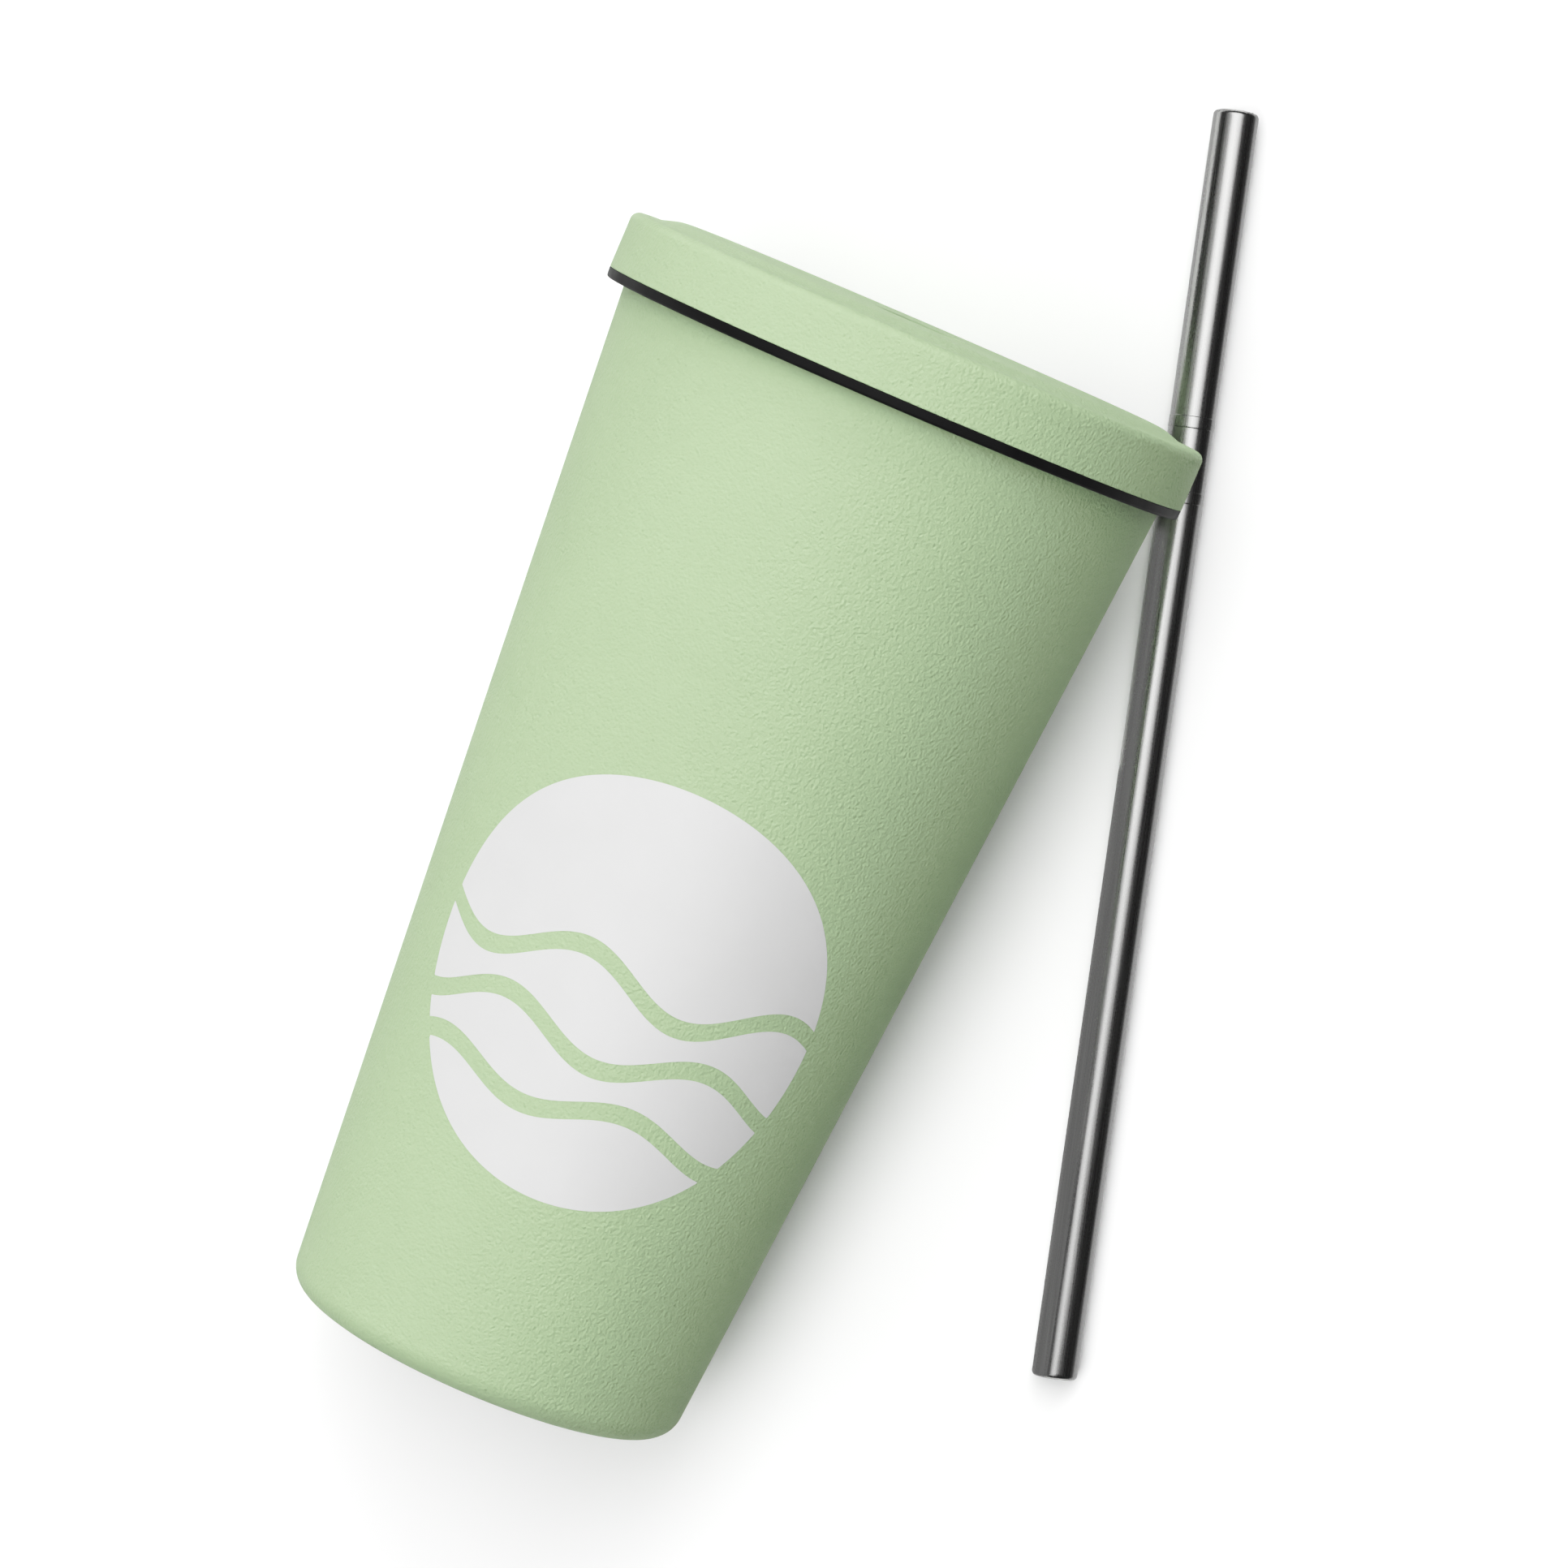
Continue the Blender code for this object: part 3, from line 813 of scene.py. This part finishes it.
# Each light: its centre, its size, its brightness, its shape and the way it faces.
# Each has its own height or its own wall, because lights in one plane would hide each other.
DOWN = (0.0, 0.0, -1.0)
TO_RIGHT = (0.0, -1.0, 0.0)
TO_BASE = (-1.0, 0.0, 0.0)
MATTE_LIGHTS = {
    "overhead": ((0.1, 0.25, 1.30), (2.6, 0.5), 3.6, "RECTANGLE", DOWN),
    "overhead_wide": ((0.1, 0.45, 1.34), (2.6, 1.5), 1.3, "RECTANGLE", DOWN),
    "overhead_left": ((0.1, 1.0, 1.32), (2.6, 0.8), 0.35, "RECTANGLE", DOWN),
    "overhead_middle": ((0.1, 0.25, 1.28), (1.4, 0.5), 1.1, "ELLIPSE", DOWN),
    "left_high": ((0.0, 1.6, 0.93), (2.4, 0.65), 0.6, "RECTANGLE", TO_RIGHT),
    "left_low": ((0.0, 1.6, 0.33), (2.4, 0.5), 0.5, "RECTANGLE", TO_RIGHT),
    "far_high": ((1.6, 0.5, 0.93), (2.0, 0.65), 3.0, "RECTANGLE", TO_BASE),
}
SHEENS = {
    "sheen_wide": ((0.6, 0.07, 1.26), (1.5, 1.56), 1.45, "ELLIPSE", DOWN),
    "sheen_middle": ((0.6, 0.13, 1.23), (1.2, 1.24), 0.6, "ELLIPSE", DOWN),
    "sheen_near": ((-0.7, 0.08, 1.17), (1.0, 0.6), 0.9, "RECTANGLE", DOWN),
    "sheen_over": ((-0.1, 0.05, 1.14), (0.9, 0.4), 0.45, "RECTANGLE", DOWN),
    "sheen_left": ((0.4, 0.95, 1.08), (1.8, 0.7), 0.5, "ELLIPSE", DOWN),
}

# Glowing cards round the straw, not lamps, that paint grey and dark bands into its reflections (painted
# reflection). Each: where it starts and ends along the straw, its two edges as distances to the right of the straw
# and above the floor, and its brightness.
REFLECTION_CARDS = {
    "reflection_glow_right": ((-0.02, 0.23), (0.014, 0.0003), (0.004, 0.0003), 0.62),
    "reflection_glow_right_low": ((-0.02, 0.145), (0.014, 0.0041), (0.014, 0.0003), 0.62),
    # The dark cards paint a shaded band into the straw's reflections.
    "reflection_shade_right_low": ((-0.02, 0.145), (0.014, 0.0068), (0.014, 0.0041), 0.07),
    "reflection_glow_right_high": ((0.145, 0.23), (0.014, 0.0020), (0.014, 0.0003), 0.62),
    "reflection_shade_right_high": ((0.145, 0.23), (0.014, 0.0068), (0.014, 0.0020), 0.07),
    "reflection_glow_left_low": ((-0.02, 0.1), (-0.004, 0.0003), (-0.011, 0.0003), 0.35),
    "reflection_glow_left_high": ((0.145, 0.23), (-0.004, 0.0003), (-0.016, 0.0003), 0.64),
    "reflection_glow_mug_side": ((-0.02, 0.14), (-0.011, 0.0003), (-0.011, 0.0190), 0.33),
}

# Display tone curve, as dim and shown brightness: dim tones a little deeper, middle tones lighter.
TONES = ((0.1, 0.093), (0.24, 0.29), (0.578, 0.70))
COMBINED_CURVE = 3


def add_stage(name, shape, material):
    """Put a mesh in the scene that isn't part of the mug."""
    mesh = bpy.data.meshes.new(name)
    shape.to_mesh(mesh)
    shape.free()
    mesh.materials.append(material)
    item = bpy.data.objects.new(name, mesh)
    bpy.context.scene.collection.objects.link(item)
    return item


def make_floor():
    """A round of pale paper, as wide as the lights reach."""
    shape = bmesh.new()
    bmesh.ops.create_circle(shape, cap_ends=True, segments=FLOOR_FACETS, radius=FLOOR_RADIUS)
    paper = Shader("studio_paper")
    paper.set(Specular_IOR_Level=0.0, Roughness=1.0)
    paper.feed("Base Color", paper.colours(paper.noise(scale=30.0), PAPER_LOW, PAPER_HIGH))
    add_stage("studio_floor", shape, paper.material)


def make_light(name, place, size, radiance, shape, facing, glossy):
    """Area light of a given brightness. It lights either the matte surfaces or the reflections."""
    data = bpy.data.lights.new(name, "AREA")
    data.shape = shape
    data.size, data.size_y = size
    area = size[0] * size[1] * (math.pi / 4 if shape == "ELLIPSE" else 1.0)
    data.energy = math.pi * area * radiance
    light = bpy.data.objects.new(name, data)
    bpy.context.scene.collection.objects.link(light)
    back = -Vector(facing)
    side = Vector((0.0, 1.0, 0.0)) if facing == TO_BASE else Vector((1.0, 0.0, 0.0))
    light.matrix_world = axes_matrix(side, back.cross(side), back, Vector(place))
    light.visible_camera = False
    light.visible_glossy = glossy
    light.visible_diffuse = not glossy


def make_reflection_card(name, stretch, first_edge, last_edge, radiance):
    """Glowing card beside the straw, seen only by reflections, and only from its front.

    It is a painted reflection: it hides the bright floor or the green mug in the straw's reflections and puts a
    grey or dark band there instead.
    """
    along = STRAW.col[2].xyz
    right = along.cross(UP)
    ground = STRAW.translation - UP * STRAW.translation.z
    edges = [ground + right * aside + UP * height for aside, height in (first_edge, last_edge)]
    corners = [
        edges[0] + along * stretch[0],
        edges[0] + along * stretch[1],
        edges[1] + along * stretch[1],
        edges[1] + along * stretch[0],
    ]
    shape = bmesh.new()
    shape.faces.new([shape.verts.new(corner) for corner in corners])
    glow_shader = Shader(name)
    glow_shader.set(Base_Color=(0.0, 0.0, 0.0, 1.0), Specular_IOR_Level=0.0, Roughness=1.0)
    # The card glows with no lamp behind it: its grey or dark emission is a painted reflection.
    glow_shader.set(Emission_Color=(1.0, 1.0, 1.0, 1.0), Emission_Strength=radiance)
    back_seen = glow_shader.nodes.new("ShaderNodeNewGeometry").outputs["Backfacing"]
    glow_shader.feed("Alpha", glow_shader.math("SUBTRACT", 1.0, back_seen))
    glow_shader.material.cycles.emission_sampling = "NONE"
    card = add_stage(name, shape, glow_shader.material)
    card.visible_camera = False
    card.visible_diffuse = False
    card.visible_transmission = False
    card.visible_volume_scatter = False
    card.visible_shadow = False


def make_world():
    """White where the camera sees it, and almost dark as a light."""
    world = bpy.data.worlds.new("studio_world")
    bpy.context.scene.world = world
    world.use_nodes = True
    nodes = world.node_tree.nodes
    links = world.node_tree.links
    background = nodes["Background"]
    background.inputs["Color"].default_value = (1.0, 1.0, 1.0, 1.0)
    path = nodes.new("ShaderNodeLightPath")
    seen = nodes.new("ShaderNodeMapRange")
    seen.inputs["To Min"].default_value = WORLD_STRENGTH
    seen.inputs["To Max"].default_value = 1.0
    links.new(path.outputs["Is Camera Ray"], seen.inputs["Value"])
    links.new(seen.outputs["Result"], background.inputs["Strength"])


def make_camera():
    """Straight above the mug, with the lid's direction leaning 23 degrees clockwise in the frame."""
    data = bpy.data.cameras.new("camera")
    data.lens = CAMERA_LENS
    data.sensor_width = CAMERA_SENSOR
    data.clip_end = CAMERA_REACH
    camera = bpy.data.objects.new("camera", data)
    bpy.context.scene.collection.objects.link(camera)
    frame_up = Vector((math.cos(CAMERA_ROLL), math.sin(CAMERA_ROLL), 0.0))
    camera.matrix_world = axes_matrix(frame_up.cross(UP), frame_up, UP, CAMERA_PLACE)
    bpy.context.scene.camera = camera


def set_display():
    """Plain display transform with the tone curve."""
    view = bpy.context.scene.view_settings
    view.view_transform = "Standard"
    view.look = "None"
    view.use_curve_mapping = True
    curve = view.curve_mapping.curves[COMBINED_CURVE]
    for dim, shown in TONES:
        curve.points.new(dim, shown)
    view.curve_mapping.update()


def make_studio():
    """Softboxes overhead, mostly over the mug's left side, with panels on the left and beyond the lid."""
    make_floor()
    make_world()
    for name, light in MATTE_LIGHTS.items():
        make_light(name, *light, glossy=False)
    for name, light in SHEENS.items():
        make_light(name, *light, glossy=True)
    # Glowing cards that paint grey and dark bands into the straw's reflections.
    for name, card in REFLECTION_CARDS.items():
        make_reflection_card(name, *card)
    set_display()


make_outer_shell()
make_liner()
make_base_plate()
make_lid_cap()
make_lid_plug()
make_gasket()
make_grommet()
make_straw()
make_print()
finish_inner_pieces()
make_studio()
make_camera()
